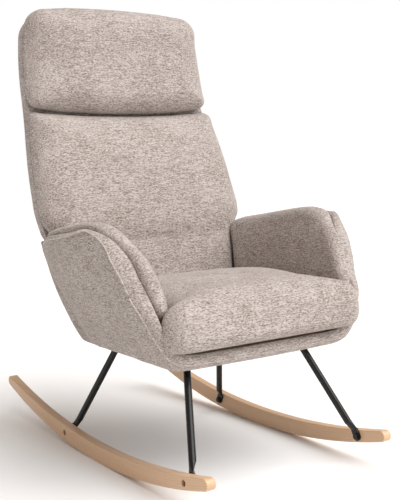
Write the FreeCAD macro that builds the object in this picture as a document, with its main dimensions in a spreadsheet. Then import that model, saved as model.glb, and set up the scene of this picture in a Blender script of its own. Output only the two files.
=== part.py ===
"""Upholstered rocking chair: ash rockers, black steel legs, timber frames and padded covers.

The chair faces -Y, +Z is up and +X is the sitter's left.  The origin is on the floor,
in the middle of the chair's box.  All lengths are millimetres.
"""
import FreeCAD, Part
import math
import os
import Sketcher

SIZES = {
    # rockers
    "rocker_length": 960, "rocker_width": 22, "rocker_depth": 40, "rocker_inset": 222,
    "rocker_sole": 1603, "rocker_crest": 2026, "sole_forward": 36, "crest_forward": 47,
    "nose_share": 0.49, "rocker_ease": 2,
    # legs and the steel plates that they are welded to
    "tube_diameter": 16, "tube_wall": 1.5, "tab_width": 20, "tab_thickness": 4, "tab_length": 17,
    "neck_length": 38, "front_foot": -399, "rear_foot": 134, "front_reach": 175, "rear_reach": -158,
    "front_lean": 101, "rear_lean": -103, "leg_rise": 312, "plate_width": 44, "plate_thickness": 4,
    "plate_level": 274, "plate_front": -330, "plate_back": 34, "plate_bolt_spread": 26,
    "plate_bolt_front": -313, "plate_bolt_rear": -6,
    # fasteners
    "bolt_diameter": 6, "head_diameter": 12, "head_height": 4, "washer_diameter": 16,
    "washer_thickness": 1.5, "recess_diameter": 14, "recess_depth": 8, "barrel_diameter": 9,
    "barrel_length": 12, "flange_thickness": 2, "hole_play": 0.5, "fit_gap": 0.3,
    # seat
    "rail_thickness": 16, "seat_half": 222, "side_rail": 42, "front_rail": 70, "rear_rail": 45,
    "seat_front": -335, "seat_back": 26, "strap_thickness": 1.2, "strap_width": 50,
    "deck_thickness": 2, "band_width": 9, "cushion_height": 112, "cushion_front": -402,
    "cushion_back": 86, "cushion_heel": 44, "cushion_ear": 30, "cushion_neck": -1, "ear_depth": 48,
    "cushion_corner": 45,
    # arms
    "arm_skin": 24, "arm_pad": 36, "arm_foot": 35, "arm_lean": 0.305, "panel_thickness": 11,
    "arm_height": 545, "arm_pad_height": 566, "arm_rear": 34,
    # back
    "back_depth": 97, "shell_depth": 50, "shell_wall": 10, "back_slope": 0.345,
    "back_heel": 174, "heel_level": 505, "bend_level": 820, "crown_level": 975,
    "back_top": 1078, "seam_level": 808, "back_half_top": 32, "back_half_low": 60,
    "crown_drop": 26, "back_corner": 42, "heel_half": 22, "foot_half": 14, "panel_half": 40,
    "rear_panel": 9, "rear_panel_top": 480, "bracket_width": 30, "bracket_thickness": 5,
    "bracket_inner": -53, "stile_width": 44, "stile_thickness": 16,
    "stile_offset": 12, "stile_outer": -16,
}


class Size:
    """A length together with the spreadsheet expression that gives it."""

    def __init__(self, value, text=None):
        self.value = float(value)
        self.text = text if text is not None else "%.6g" % value

    def _join(self, other, sign, value):
        return Size(value, "(%s %s %s)" % (self.text, sign, other.text))

    def __add__(self, other):
        other = sized(other)
        return self._join(other, "+", self.value + other.value)

    def __radd__(self, other):
        return sized(other) + self

    def __sub__(self, other):
        other = sized(other)
        return self._join(other, "-", self.value - other.value)

    def __rsub__(self, other):
        return sized(other) - self

    def __mul__(self, other):
        other = sized(other)
        return self._join(other, "*", self.value * other.value)

    def __rmul__(self, other):
        return sized(other) * self

    def __truediv__(self, other):
        other = sized(other)
        return self._join(other, "/", self.value / other.value)

    def __neg__(self):
        return sized(0) - self

    def root(self):
        return Size(math.sqrt(self.value), "sqrt(%s)" % self.text)


def sized(number):
    return number if isinstance(number, Size) else Size(number)


doc = FreeCAD.newDocument("RockingChair")
sheet = doc.addObject("Spreadsheet::Sheet", "Sizes")
for row, (alias, number) in enumerate(SIZES.items(), start=1):
    sheet.set("A%d" % row, alias)
    sheet.set("B%d" % row, str(number))
    sheet.setAlias("B%d" % row, alias)
doc.recompute()


def get(alias):
    """The driving dimension of that name, as a Size."""
    return Size(sheet.get(alias), "Sizes." + alias)


def across(alias):
    """A half width that is kept as its distance outside the seat frame's own half width."""
    return get("seat_half") + get(alias)


PARTS = []
SIDES = {"left": 1, "right": -1}


def keep(thing, label):
    """Mark an object as one sub-part; its label names its file."""
    thing.Label = label
    PARTS.append(thing)
    return thing


def bind(thing, prop, size):
    thing.setExpression(prop, sized(size).text)


# ---------------------------------------------------------------- sketches and features

def new_body(name):
    return doc.addObject("PartDesign::Body", name)


def origin_plane(body, role):
    return next(item for item in body.Origin.OriginFeatures if item.Role == role)


def attach(body, name, role, lift=0):
    """A sketch on one of the body's own origin planes, lifted along its normal."""
    sketch = body.newObject("Sketcher::SketchObject", name)
    sketch.AttachmentSupport = [(origin_plane(body, role), "")]
    sketch.MapMode = "FlatFace"
    bind(sketch, "AttachmentOffset.Base.z", lift)
    return sketch


def fix_point(sketch, edge, end, u, v):
    """Hold one end of an edge at (u, v), both bound to the spreadsheet."""
    for kind, size in (("DistanceX", sized(u)), ("DistanceY", sized(v))):
        index = sketch.addConstraint(Sketcher.Constraint(kind, -1, 1, edge, end, size.value))
        sketch.setExpression("Constraints[%d]" % index, size.text)


def arc_between(start, end, radius):
    """An arc from start to end; its centre is left of the way when the radius is positive."""
    chord = end - start
    half = chord.Length / 2
    side = FreeCAD.Vector(-chord.y, chord.x, 0).normalize() * math.copysign(1, radius)
    rise = math.sqrt(max(radius * radius - half * half, 0))
    centre = (start + end) / 2 + side * rise
    middle = centre - side * abs(radius)
    return Part.ArcOfCircle(start, middle, end)


def outline(sketch, points):
    """Add a closed outline.  A point is (u, v), or (u, v, radius) where an arc arrives at it."""
    corners = [FreeCAD.Vector(sized(p[0]).value, sized(p[1]).value, 0) for p in points]
    first = sketch.GeometryCount
    starts = []
    ends = []
    for index, point in enumerate(points):
        before, here = corners[index - 1], corners[index]
        if len(point) == 2:
            edge = sketch.addGeometry(Part.LineSegment(before, here), False)
            starts.append(1)
            ends.append(2)
            continue
        radius = sized(point[2])
        edge = sketch.addGeometry(arc_between(before, here, radius.value), False)
        swapped = radius.value < 0
        starts.append(2 if swapped else 1)
        ends.append(1 if swapped else 2)
        size = -radius if swapped else radius
        held = sketch.addConstraint(Sketcher.Constraint("Radius", edge, size.value))
        sketch.setExpression("Constraints[%d]" % held, size.text)
    count = len(points)
    for index, point in enumerate(points):
        edge, after = first + index, first + (index + 1) % count
        joint = Sketcher.Constraint("Coincident", edge, ends[index], after, starts[(index + 1) % count])
        sketch.addConstraint(joint)
        fix_point(sketch, edge, ends[index], point[0], point[1])


def circles(sketch, centres, radius):
    for u, v in centres:
        middle = FreeCAD.Vector(sized(u).value, sized(v).value, 0)
        normal = FreeCAD.Vector(0, 0, 1)
        edge = sketch.addGeometry(Part.Circle(middle, normal, sized(radius).value), False)
        held = sketch.addConstraint(Sketcher.Constraint("Radius", edge, sized(radius).value))
        sketch.setExpression("Constraints[%d]" % held, sized(radius).text)
        fix_point(sketch, edge, 3, u, v)


def pad(body, sketch, length, middle=False, back=False):
    feature = body.newObject("PartDesign::Pad", sketch.Name + "_pad")
    feature.Profile = sketch
    feature.Midplane = middle
    feature.Reversed = back
    bind(feature, "Length", length)
    sketch.Visibility = False
    doc.recompute()
    return feature


def pocket(body, sketch, length=None, back=False):
    """Cut a sketch out of the body; with no length it goes through all, both ways."""
    before = body.Shape.Volume
    feature = body.newObject("PartDesign::Pocket", sketch.Name + "_cut")
    feature.Profile = sketch
    feature.Reversed = back
    if length is None:
        feature.Type = "ThroughAll"
        feature.Midplane = True
    else:
        bind(feature, "Length", length)
    doc.recompute()
    if not body.Shape.Volume < before - 1:
        raise ValueError("the pocket %s cuts nothing" % feature.Name)
    return feature


def fillet(body, edges, radius):
    """Round the tip's edges that the test picks."""
    base = body.Tip
    names = ["Edge%d" % (i + 1) for i, edge in enumerate(base.Shape.Edges) if edges(edge)]
    feature = body.newObject("PartDesign::Fillet", base.Name + "_round")
    feature.Base = (base, names)
    bind(feature, "Radius", radius)
    doc.recompute()
    return feature


def plate_body(name, role, points, length, lift=0, middle=False, back=False):
    """A body padded from one outline, the commonest piece of this chair."""
    body = new_body(name)
    sketch = attach(body, name + "_outline", role, lift)
    outline(sketch, points)
    pad(body, sketch, length, middle, back)
    return body


def box_outline(u_low, u_high, v_low, v_high):
    return [(u_low, v_low), (u_high, v_low), (u_high, v_high), (u_low, v_high)]


def slab(name, x_low, x_high, y_low, y_high, z_low, height):
    return plate_body(name, "XY_Plane", box_outline(x_low, x_high, y_low, y_high), height, z_low)


# ---------------------------------------------------------------- primitives

def placed(kind, name, base, axis, sizes):
    """A Part primitive with its sizes bound, its own Z axis laid along the given axis."""
    thing = doc.addObject("Part::" + kind, name)
    for prop, size in sizes.items():
        bind(thing, prop, size)
    turn = FreeCAD.Rotation(FreeCAD.Vector(0, 0, 1), FreeCAD.Vector(*axis))
    thing.Placement = FreeCAD.Placement(FreeCAD.Vector(), turn)
    for letter, size in zip("xyz", base):
        bind(thing, "Placement.Base." + letter, size)
    return thing


def rod(name, base, axis, radius, height):
    return placed("Cylinder", name, base, axis, {"Radius": radius, "Height": height})


def fuse(name, pieces):
    thing = doc.addObject("Part::MultiFuse", name)
    thing.Shapes = pieces
    return thing


def cut(name, base, tool):
    thing = doc.addObject("Part::Cut", name)
    thing.Base = base
    thing.Tool = tool
    return thing


def group(name, pieces):
    thing = doc.addObject("Part::Compound", name)
    thing.Links = pieces
    return thing


# ---------------------------------------------------------------- shared levels

fit_gap = get("fit_gap")
play = get("hole_play")
bolt_radius = get("bolt_diameter") / 2
head_radius = get("head_diameter") / 2
half_length = get("rocker_length") / 2
rocker_inner = get("rocker_inset")
rocker_outer = rocker_inner + get("rocker_width")

plate_bottom = get("plate_level")
plate_top = plate_bottom + get("plate_thickness")
cloth_bottom = plate_top + fit_gap
cloth_top = cloth_bottom + 0.7
rail_bottom = cloth_top + fit_gap
rail_top = rail_bottom + get("rail_thickness")
strap = get("strap_thickness")
low_strap = rail_top + get("flange_thickness") + fit_gap
high_strap = low_strap + strap + fit_gap
deck_bottom = high_strap + strap + fit_gap
deck_top = deck_bottom + get("deck_thickness")


def sole_height(y):
    """Height of the rocker's underside at y: a circle that rests on the floor."""
    radius = get("rocker_sole")
    run = y + get("sole_forward")
    return radius - (radius * radius - run * run).root()


def crest_height(y):
    """Height of the rocker's top at y: a flatter circle above the sole."""
    radius = get("rocker_crest")
    run = y + get("crest_forward")
    return get("rocker_depth") + radius - (radius * radius - run * run).root()


def rocker_middle(y):
    return (sole_height(y) + crest_height(y)) / 2


feet = {"front": get("front_foot"), "rear": get("rear_foot")}


# ---------------------------------------------------------------- rockers

def rocker(side, sign):
    """A bow of solid ash, drilled through at each leg and counterbored on its outer face."""
    body = new_body(side + "_rocker")
    sketch = attach(body, side + "_rocker_side", "YZ_Plane", sign * rocker_inner)
    front, rear = -half_length, half_length
    nose = (crest_height(front) - sole_height(front)) * get("nose_share")
    outline(sketch, [
        (front, sole_height(front)),
        (rear, sole_height(rear), get("rocker_sole")),
        (rear, crest_height(rear)),
        (front, crest_height(front), -get("rocker_crest")),
    ])
    pad(body, sketch, get("rocker_width"), back=sign < 0)
    fillet(body, lambda e: abs(e.Vertexes[0].Y - e.Vertexes[-1].Y) < 0.01
           and abs(e.Vertexes[0].Z - e.Vertexes[-1].Z) < 0.01, nose)
    fillet(body, lambda e: abs(e.Vertexes[0].X - e.Vertexes[-1].X) < 0.01, get("rocker_ease"))
    centres = [(y, rocker_middle(y)) for y in feet.values()]
    through = attach(body, side + "_rocker_holes", "YZ_Plane", sign * rocker_outer)
    circles(through, centres, (get("barrel_diameter") + play) / 2)
    pocket(body, through)
    recess = attach(body, side + "_rocker_recess", "YZ_Plane", sign * rocker_outer)
    circles(recess, centres, get("recess_diameter") / 2)
    pocket(body, recess, get("recess_depth"), back=sign < 0)
    keep(body, side + "_rocker")


for side, sign in SIDES.items():
    rocker(side, sign)


# ---------------------------------------------------------------- legs

def leg(side, sign, end, lean, reach):
    """A steel tube whose foot is flattened to a drilled tab on the rocker's inner face."""
    name = "%s_%s_leg" % (side, end)
    foot_y, foot_z = feet[end], rocker_middle(feet[end])
    tab = get("tab_thickness")
    centre_x = rocker_inner - tab / 2
    rise = get("leg_rise")
    run = FreeCAD.Vector(-sign * lean.value, reach.value, rise.value)
    along = FreeCAD.Vector(run).normalize()
    flat = FreeCAD.Vector(0, reach.value, rise.value).normalize()
    scale = get("neck_length") / (lean * lean + reach * reach + rise * rise).root()
    neck = (sign * (centre_x - lean * scale), foot_y + reach * scale, foot_z + rise * scale)

    disc = rod(name + "_disc", (sign * (rocker_inner - tab), foot_y, foot_z), (sign, 0, 0),
               get("tab_width") / 2, tab)
    slope = (reach * reach + rise * rise).root()
    ux, uz = reach / slope, rise / slope
    strip = placed("Box", name + "_strip", (0, 0, 0), (0, 0, 1), {
        "Length": tab, "Width": get("tab_width"), "Height": get("tab_length")})
    turn = FreeCAD.Rotation(FreeCAD.Vector(1, 0, 0), -math.degrees(math.atan2(flat.y, flat.z)))
    strip.Placement = FreeCAD.Placement(FreeCAD.Vector(), turn)
    low_x = rocker_inner - tab if sign > 0 else -rocker_inner
    bind(strip, "Placement.Base.x", low_x)
    bind(strip, "Placement.Base.y", foot_y - uz * get("tab_width") / 2)
    bind(strip, "Placement.Base.z", foot_z + ux * get("tab_width") / 2)

    flat_end = doc.addObject("Part::Ellipse", name + "_flat_end")
    bind(flat_end, "MajorRadius", get("tab_width") / 2)
    bind(flat_end, "MinorRadius", tab / 2)
    across = flat.cross(FreeCAD.Vector(1, 0, 0))
    frame = FreeCAD.Rotation(across, FreeCAD.Vector(1, 0, 0), -flat, "ZXY")
    flat_end.Placement = FreeCAD.Placement(FreeCAD.Vector(), frame)
    tab_length = get("tab_length") - 1
    for letter, size in zip("xyz", (sign * centre_x, foot_y + ux * tab_length,
                                    foot_z + uz * tab_length)):
        bind(flat_end, "Placement.Base." + letter, size)
    ring = doc.addObject("Part::Circle", name + "_ring")
    bind(ring, "Radius", get("tube_diameter") / 2)
    major = (across - along * across.dot(along)).normalize()
    ring.Placement = FreeCAD.Placement(FreeCAD.Vector(), FreeCAD.Rotation(
        major, along.cross(major), along, "ZXY"))
    for letter, size in zip("xyz", neck):
        bind(ring, "Placement.Base." + letter, size)
    loft = doc.addObject("Part::Loft", name + "_neck")
    loft.Sections = [flat_end, ring]
    loft.Solid = True
    loft.Ruled = True

    length = get("leg_rise") + get("neck_length") * 2
    tube = rod(name + "_tube", neck, tuple(along), get("tube_diameter") / 2, length)
    solid = fuse(name + "_solid", [disc, strip, loft, tube])
    bore = rod(name + "_bore", neck, tuple(along), get("tube_diameter") / 2 - get("tube_wall"), length)
    hole = rod(name + "_hole", (sign * (rocker_inner - 3 * tab), foot_y, foot_z), (sign, 0, 0),
               bolt_radius + play / 2, tab * 4)
    above = placed("Box", name + "_above", (-half_length, -half_length, plate_bottom), (0, 0, 1), {
        "Length": get("rocker_length"), "Width": get("rocker_length"), "Height": rise})
    keep(cut(name, solid, fuse(name + "_waste", [bore, hole, above])), name)


for side, sign in SIDES.items():
    leg(side, sign, "front", get("front_lean"), get("front_reach"))
    leg(side, sign, "rear", -get("rear_lean"), get("rear_reach"))


# ---------------------------------------------------------------- rocker fasteners

def headed(name, x, y, z, axis, head, head_height, shank, shank_length):
    """A bolt, washer-faced nut or tee nut: a flat head with a shank that leaves it along axis."""
    cap = rod(name + "_head", (x, y, z), axis, head, head_height)
    stem = rod(name + "_stem", (x, y, z), axis, shank, head_height + shank_length)
    return fuse(name, [cap, stem])


def ring(name, x, y, z, axis, outer, inner, height):
    return cut(name, rod(name + "_disc", (x, y, z), axis, outer, height),
               rod(name + "_eye", (x, y, z), axis, inner, height))


def rocker_hardware():
    """Button-head bolts go outwards through tab and rocker into sleeve nuts in the recesses."""
    bolts, washers, nuts = [], [], []
    tab_face = rocker_inner - get("tab_thickness")
    washer_face = tab_face - get("washer_thickness")
    head_face = washer_face - get("head_height")
    recess_floor = rocker_outer - get("recess_depth")
    shank = recess_floor + get("flange_thickness") - washer_face
    for side, sign in SIDES.items():
        for end, y in feet.items():
            name, z, axis = "%s_%s_" % (side, end), rocker_middle(y), (sign, 0, 0)
            bolts.append(headed(name + "bolt", sign * head_face, y, z, axis, head_radius,
                                get("head_height"), bolt_radius, shank))
            washers.append(ring(name + "washer", sign * washer_face, y, z, axis,
                                get("washer_diameter") / 2, bolt_radius + play / 4,
                                get("washer_thickness")))
            sleeve = headed(name + "sleeve", sign * (recess_floor + get("flange_thickness")), y, z,
                            (-sign, 0, 0), head_radius, get("flange_thickness"),
                            get("barrel_diameter") / 2, get("barrel_length"))
            eye = rod(name + "eye", (sign * rocker_inner, y, z), axis, bolt_radius + play / 4,
                      get("rocker_width"))
            nuts.append(cut(name + "nut", sleeve, eye))
    keep(group("rocker_bolts", bolts), "rocker_bolts")
    keep(group("rocker_washers", washers), "rocker_washers")
    keep(group("rocker_sleeve_nuts", nuts), "rocker_sleeve_nuts")


rocker_hardware()


# ---------------------------------------------------------------- under the seat

plate_share = 0.72      # of the front legs' lean, where the plate's middle comes
plate_middle = rocker_inner - get("tab_thickness") / 2 - get("front_lean") * plate_share
seat_front, seat_back = get("seat_front"), get("seat_back")
plate_holes = [(sign * plate_middle + step * get("plate_bolt_spread") / 2, y)
               for sign in (1, -1) for step in (1, -1)
               for y in (get("plate_bolt_front"), get("plate_bolt_rear"))]


def leg_plate(side, sign):
    """The flat steel plate that both legs of one side are welded to."""
    low = sign * plate_middle - get("plate_width") / 2
    body = slab(side + "_leg_plate", low, low + get("plate_width"), get("plate_front"),
                get("plate_back"), plate_bottom, get("plate_thickness"))
    holes = attach(body, side + "_leg_plate_holes", "XY_Plane", plate_bottom)
    circles(holes, [(x, y) for x, y in plate_holes if sign * x.value > 0], bolt_radius + play / 2)
    pocket(body, holes)
    keep(body, side + "_leg_plate")


for side, sign in SIDES.items():
    leg_plate(side, sign)


def drill(body, name, radius):
    """Holes for the plate bolts that fall inside this piece."""
    box = body.Shape.BoundBox
    centres = [(x, y) for x, y in plate_holes if box.YMin < y.value < box.YMax]
    holes = attach(body, name, "XY_Plane", rail_bottom)
    circles(holes, centres, radius)
    pocket(body, holes)


arm_bolt_level = (rail_bottom + rail_top) / 2 + 3
arm_bolt_rows = [seat_front + get("front_rail") + step for step in (25, 110, 195)]
arm_bolt_inner = get("seat_half") - get("side_rail")
arm_bolt_length = get("side_rail") + get("band_width") + 16


def bored(base, sign, name):
    """Holes for one side's arm bolts, drilled outwards through this piece."""
    tools = []
    for row, y in enumerate(arm_bolt_rows, start=1):
        tools.append(rod("%s_bore_%d" % (name, row), (sign * (arm_bolt_inner - 5), y, arm_bolt_level),
                         (sign, 0, 0), bolt_radius + play / 2, arm_bolt_length + 25))
    return cut(name, base, fuse(name + "_bores", tools))


def arm_bolts():
    """Three bolts a side go out through the side rail into the arm's plywood panel."""
    bolts = []
    for side, sign in SIDES.items():
        for row, y in enumerate(arm_bolt_rows, start=1):
            head = sign * (arm_bolt_inner - get("head_height"))
            bolts.append(headed("%s_arm_bolt_%d" % (side, row), head, y, arm_bolt_level, (sign, 0, 0),
                                head_radius, get("head_height"), bolt_radius, arm_bolt_length))
    keep(group("arm_bolts", bolts), "arm_bolts")


def seat_frame():
    """Four plywood rails: the front and rear ones carry the leg plates."""
    half, front, rear = get("seat_half"), get("front_rail"), get("rear_rail")
    thick = get("rail_thickness")
    ends = {"seat_front_rail": (seat_front, seat_front + front),
            "seat_rear_rail": (seat_back - rear, seat_back)}
    for name, (low, high) in ends.items():
        body = slab(name, -half, half, low, high, rail_bottom, thick)
        drill(body, name + "_holes", get("barrel_diameter") / 2 + play / 2)
        keep(body, name)
    for side, sign in SIDES.items():
        low = half - get("side_rail") if sign > 0 else -half
        body = slab(side + "_rail_board", low, low + get("side_rail"), seat_front + front + fit_gap,
                    seat_back - rear - fit_gap, rail_bottom, thick)
        keep(bored(body, sign, "seat_%s_rail" % side), "seat_%s_rail" % side)


def seat_hardware():
    """Bolts from below, each into a tee nut hammered into the rail from above."""
    bolts, nuts = [], []
    shank = rail_top - plate_bottom - 1
    for count, (x, y) in enumerate(plate_holes, start=1):
        name = "plate_%d_" % count
        bolts.append(headed(name + "bolt", x, y, plate_bottom - get("head_height"), (0, 0, 1),
                            head_radius, get("head_height"), bolt_radius, shank))
        flange = rail_top + get("flange_thickness")
        solid = headed(name + "tee", x, y, flange, (0, 0, -1), head_radius,
                       get("flange_thickness"), get("barrel_diameter") / 2, get("barrel_length"))
        eye = rod(name + "eye", (x, y, rail_bottom), (0, 0, 1), bolt_radius + play / 4,
                  get("rail_thickness") * 2)
        nuts.append(cut(name + "nut", solid, eye))
    keep(group("plate_bolts", bolts), "plate_bolts")
    keep(group("plate_tee_nuts", nuts), "plate_tee_nuts")


def seat_webbing():
    """Elastic straps across the rails: four from side to side under three from front to back."""
    half, wide = get("seat_half"), get("strap_width")
    depth = seat_back - seat_front
    straps = []
    for index in range(4):
        low = seat_front + get("front_rail") + 14 + (depth - 110 - wide) * (index / 4)
        straps.append(slab("cross_strap_%d" % (index + 1), -half, half, low, low + wide, low_strap, strap))
    for index in range(3):
        low = (index - 1) * (wide * 1.9) - wide / 2
        straps.append(slab("long_strap_%d" % (index + 1), low, low + wide, seat_front, seat_back,
                           high_strap, strap))
    keep(group("seat_webbing", straps), "seat_webbing")


def dust_cover():
    """Black cloth stapled under the rails, with room for the plate bolts."""
    half = get("seat_half")
    body = slab("dust_cover", -half, half, seat_front, seat_back, cloth_bottom, cloth_top - cloth_bottom)
    drill(body, "dust_cover_holes", bolt_radius + play)
    keep(body, "dust_cover")


def seat_shell():
    """The padded band round the rails, and the deck cloth that the cushion lies on."""
    half = get("seat_half") + get("band_width")
    front = seat_front - get("band_width") * 3
    body = slab("seat_band", -half, half, front, seat_back, plate_bottom, deck_top - plate_bottom)
    inside = attach(body, "seat_shell_room", "XY_Plane", plate_bottom)
    room = get("seat_half") + fit_gap
    outline(inside, box_outline(-room, room, seat_front - fit_gap, seat_back + 2))
    pocket(body, inside, deck_bottom - plate_bottom, back=True)
    one_side = bored(body, 1, "seat_band_left")
    keep(bored(one_side, -1, "seat_band_right"), "seat_shell")


def seat_cushion():
    """A foam block with two ears that fill the tub's width in front of the arm pads."""
    ear, neck = across("cushion_ear"), across("cushion_neck")
    front, back = get("cushion_front"), get("cushion_back")
    step = front + get("ear_depth")
    round_off = get("cushion_corner")
    points = [
        (-ear + round_off, front, round_off), (ear - round_off, front),
        (ear, front + round_off, round_off), (ear, step), (neck, step), (neck, back),
        (-neck, back), (-neck, step), (-ear, step), (-ear, front + round_off),
    ]
    base = deck_top + fit_gap
    body = plate_body("seat_cushion", "XY_Plane", points, get("cushion_height"), base)
    corners = attach(body, "cushion_corners", "XZ_Plane")
    cheek, rise = across("arm_foot") - get("arm_skin") - 8, get("ear_depth")
    for sign in (1, -1):
        outline(corners, [(sign * cheek, base - 5), (sign * (ear + 5), base - 5),
                          (sign * (ear + 5), base + rise)])
    pocket(body, corners)
    heel = attach(body, "cushion_heel", "YZ_Plane")
    slant = get("cushion_heel")
    outline(heel, [(back - slant - 1, base - 1), (back + 1, base - 1), (back + 1, base + slant + 1)])
    pocket(body, heel)
    keep(body, "seat_cushion")


seat_frame()
seat_hardware()
arm_bolts()
seat_webbing()
dust_cover()
seat_shell()
seat_cushion()


# ---------------------------------------------------------------- arms

def section(name, y, corners):
    """A four-cornered wire in the upright plane at y."""
    wire = doc.addObject("Part::Feature", name)
    points = [FreeCAD.Vector(sized(u).value, sized(y).value, sized(v).value) for u, v in corners]
    wire.Shape = Part.makePolygon(points + points[:1])
    return wire


def leaning(z):
    """How far out the arm's outer face stands at height z."""
    return across("arm_foot") + (z - plate_top) * get("arm_lean")


def arm_stations():
    """(y, lowest z, highest z, inward curl) of the arm from its front edge to the back."""
    top = get("arm_height")
    rear = get("arm_rear")
    front = seat_front - get("band_width") * 3
    return [
        (front, plate_bottom, top - 158, 0), (front + 72, plate_bottom + 4, top - 64, 0),
        (front + 147, plate_bottom + 6, top, 0), (rear - 84, plate_bottom + 8, top - 17, 0),
        (rear - 29, plate_bottom + 58, top - 29, 10), (rear + 26, plate_bottom + 106, top - 40, 22),
        (rear + 84, plate_bottom + 181, top - 48, 44),
    ]


def arm_loft(name, sign, stations, outer, inner, knee=None):
    """Loft a leaning wall between two depths; a knee keeps its lower inner face upright."""
    wires = []
    for index, (y, low, high, curl) in enumerate(stations):
        corners = [(sign * (leaning(low) - curl - outer), low),
                   (sign * (leaning(high) - curl - outer), high),
                   (sign * (leaning(high) - curl - inner), high)]
        if knee is None:
            corners.append((sign * (leaning(low) - curl - inner), low))
        else:
            bend = plate_top + (knee + inner + curl - across("arm_foot")) / get("arm_lean")
            corners += [(sign * knee, bend), (sign * knee, low)]
        wires.append(section("%s_station_%d" % (name, index + 1), y, corners))
    loft = doc.addObject("Part::Loft", name)
    loft.Sections = wires
    loft.Solid = True
    loft.Ruled = True
    return loft


def arm_panel_points(grow):
    """The plywood panel's outline: y along the arm, and height above the plates."""
    stations = arm_stations()
    front, peak, rear = stations[1], stations[2], stations[3]
    low = 6
    return [(front[0] - grow, low - grow), (rear[0] + grow, low - grow),
            (rear[0] + grow, rear[2] - plate_top - 30 + grow),
            (peak[0] + 30 - grow, peak[2] - plate_top - 30 + grow),
            (front[0] - grow, front[2] - plate_top - 60 + grow)]


def arm_panel(name, sign, grow):
    """A flat panel, leaning with the arm, set in from its outer face; grow makes its pocket."""
    thick = get("panel_thickness") + grow * 2
    inset = get("arm_skin") - get("panel_thickness") - grow
    points = arm_panel_points(grow)
    wires = []
    for depth, end in ((inset, "outer"), (inset + thick, "inner")):
        wire = doc.addObject("Part::Feature", "%s_%s" % (name, end))
        corners = [FreeCAD.Vector(sign * (leaning(plate_top + sized(v)) - depth).value, sized(y).value,
                                  (plate_top + sized(v)).value) for y, v in points]
        wire.Shape = Part.makePolygon(corners + corners[:1])
        wires.append(wire)
    loft = doc.addObject("Part::Loft", name)
    loft.Sections = wires
    loft.Solid = True
    loft.Ruled = True
    return loft


def arm(side, sign):
    """Outer padded shell, plywood panel let into its inner face, and the thick inner pad."""
    skin = get("arm_skin")
    shell = arm_loft(side + "_arm_wall", sign, arm_stations(), sized(0), skin)
    room = arm_panel(side + "_arm_room", sign, 0.3)
    keep(cut(side + "_arm_shell", shell, room), side + "_arm_shell")
    board = arm_panel(side + "_arm_board", sign, 0)
    keep(bored(board, sign, side + "_arm_panel"), side + "_arm_panel")
    top, rear = get("arm_pad_height"), get("arm_rear")
    front = seat_front - get("band_width") * 3
    stations = [
        (front + get("ear_depth") + 14, deck_top + 2, top - 150, 0),
        (front + 76, deck_top + 2, top - 84, 0), (front + 146, deck_top + 2, top - 12, 0),
        (front + 205, deck_top + 2, top, 0), (rear - 84, deck_top + 2, top - 8, 0),
        (rear - 29, deck_top + 2, top - 16, 10), (rear + 26, deck_top + 28, top - 24, 22),
        (rear + 50, deck_top + 50, top - 34, 31),
    ]
    depth = skin + 1
    pad_loft = arm_loft(side + "_arm_pad", sign, stations, depth, depth + get("arm_pad"),
                        across("cushion_neck") + 1)
    keep(pad_loft, side + "_arm_pad")


for side, sign in SIDES.items():
    arm(side, sign)


# ---------------------------------------------------------------- back

bend_z, crown_z = get("bend_level"), get("crown_level")
slope = get("back_slope")
straight_run = (bend_z - get("heel_level")) * slope
turn_sine = slope / (slope * slope + 1).root()
bend_radius = (crown_z - bend_z) / turn_sine
bend_run = bend_radius * (1 - (1 - turn_sine * turn_sine).root())


def back_line(z):
    """How far back the rear face is at height z: a leaning straight, then an arc to upright."""
    straight = get("back_heel") + (z - get("heel_level")) * slope
    if z.value <= bend_z.value:
        return straight
    upright = get("back_heel") + straight_run + bend_run
    if z.value >= crown_z.value:
        return upright
    drop = crown_z - z
    return upright - bend_radius + (bend_radius * bend_radius - drop * drop).root()


def band(low, high, rear, front):
    """Outline in (y, z) of a slice of the back between two depths from its rear face."""
    points = [(back_line(low) - front, low), (back_line(low) - rear, low)]
    upper = [level for level in (bend_z, crown_z) if low.value < level.value < high.value]
    for level in upper + [high]:
        curved = bend_z.value < level.value <= crown_z.value
        point = (back_line(level) - rear, level)
        points.append(point + (bend_radius,) if curved else point)
    points.append((back_line(high) - front, high))
    levels = upper[::-1]
    above = high
    for level in levels:
        curved = bend_z.value < above.value <= crown_z.value
        point = (back_line(level) - front, level)
        points.append(point + (-bend_radius,) if curved else point)
        above = level
    if bend_z.value < above.value <= crown_z.value:
        points[0] = points[0] + (-bend_radius,)
    return points


def back_half(z):
    """Half the back's width at height z: it widens steadily towards the seat."""
    low = across("back_half_low")
    share = (z - get("heel_level")) / (crown_z - get("heel_level"))
    return low - (low - across("back_half_top")) * share


def trim_to_front(body, name, inset, low, high):
    """Cut away what lies outside the back's front view, with its crowned and cornered top."""
    sketch = attach(body, name, "XZ_Plane")
    wide = get("rocker_length")
    top = get("back_top") - inset
    side = across("back_half_top") - inset
    corner = get("back_corner")
    shoulder = top - get("crown_drop")
    run = side - corner
    crown = (run * run + get("crown_drop") * get("crown_drop")) / (get("crown_drop") * 2)
    points = [(-(back_half(low) - inset), low), (back_half(low) - inset, low)]
    if high.value > crown_z.value:
        points += [(side, crown_z), (side, shoulder - corner), (run, shoulder, corner),
                   (-run, shoulder, crown), (-side, shoulder - corner, corner), (-side, crown_z)]
    else:
        points += [(back_half(high) - inset, high), (-(back_half(high) - inset), high)]
    outline(sketch, points)
    outline(sketch, box_outline(-wide, wide, low - 20, top + wide))
    pocket(body, sketch)


def back_piece(name, low, high, rear, front, inset):
    body = plate_body(name, "YZ_Plane", band(low, high, rear, front), across("back_half_low") * 2 + 40,
                      middle=True)
    trim_to_front(body, name + "_front_view", sized(inset), low, high)
    return body


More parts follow.
